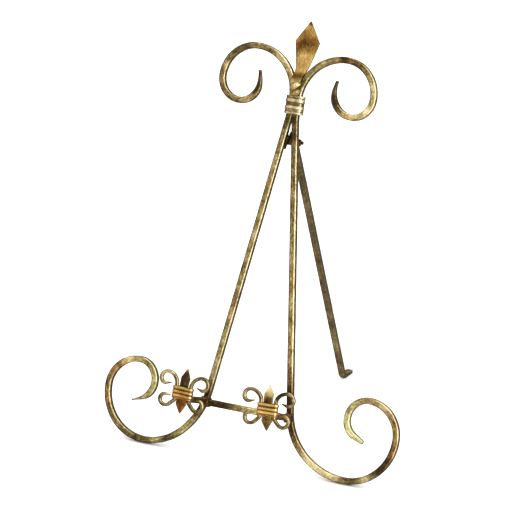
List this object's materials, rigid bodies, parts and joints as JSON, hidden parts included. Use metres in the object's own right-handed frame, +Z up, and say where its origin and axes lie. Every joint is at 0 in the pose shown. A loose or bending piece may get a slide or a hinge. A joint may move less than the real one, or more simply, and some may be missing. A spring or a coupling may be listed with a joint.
{
  "type": "display easel",
  "caption": "Table-top display easel of scrolled square bar: two splayed legs, ledge arms with small scroll ornaments, a leaf finial and a hinged rear strut.",
  "frame": {"origin": "on the floor, at the middle of the easel's width and depth when it stands open", "axes": "+X across the easel to the viewer's right, +Y from front to back, +Z up"},
  "size_m": [0.3218, 0.2998, 0.4119],
  "materials": {
    "antique_gold": "antique gold paint, mottled olive and brown",
    "dark_gold": "antique gold paint under a heavy dark glaze",
    "blackened_gold": "near-black brown glaze over gold paint",
    "amber_gold": "amber gold paint with a brown glaze",
    "warm_gold": "pale warm gold paint with brown in the grooves"
  },
  "bodies": {
    "frame": {"left_leg": "antique_gold", "right_leg": "antique_gold", "crossbar": "dark_gold", "left_arm": "blackened_gold", "right_arm": "blackened_gold", "left_outer_scroll": "antique_gold", "left_inner_scroll": "antique_gold", "left_spear": "amber_gold", "left_band": "warm_gold", "right_outer_scroll": "antique_gold", "right_inner_scroll": "antique_gold", "right_spear": "amber_gold", "right_band": "warm_gold", "top_collar": "warm_gold", "top_finial": "amber_gold", "hinge_bracket": "blackened_gold", "hinge_pin": "blackened_gold"},
    "rear_leg": {"rear_leg": "antique_gold"}
  },
  "joints": [
    {"name": "rear_leg_hinge", "type": "hinge", "parent": "frame", "child": "rear_leg", "pos_m": [0, 0.01108, 0.29783], "axis": [-1, 0, 0], "range_deg": [0, 43]}
  ]
}
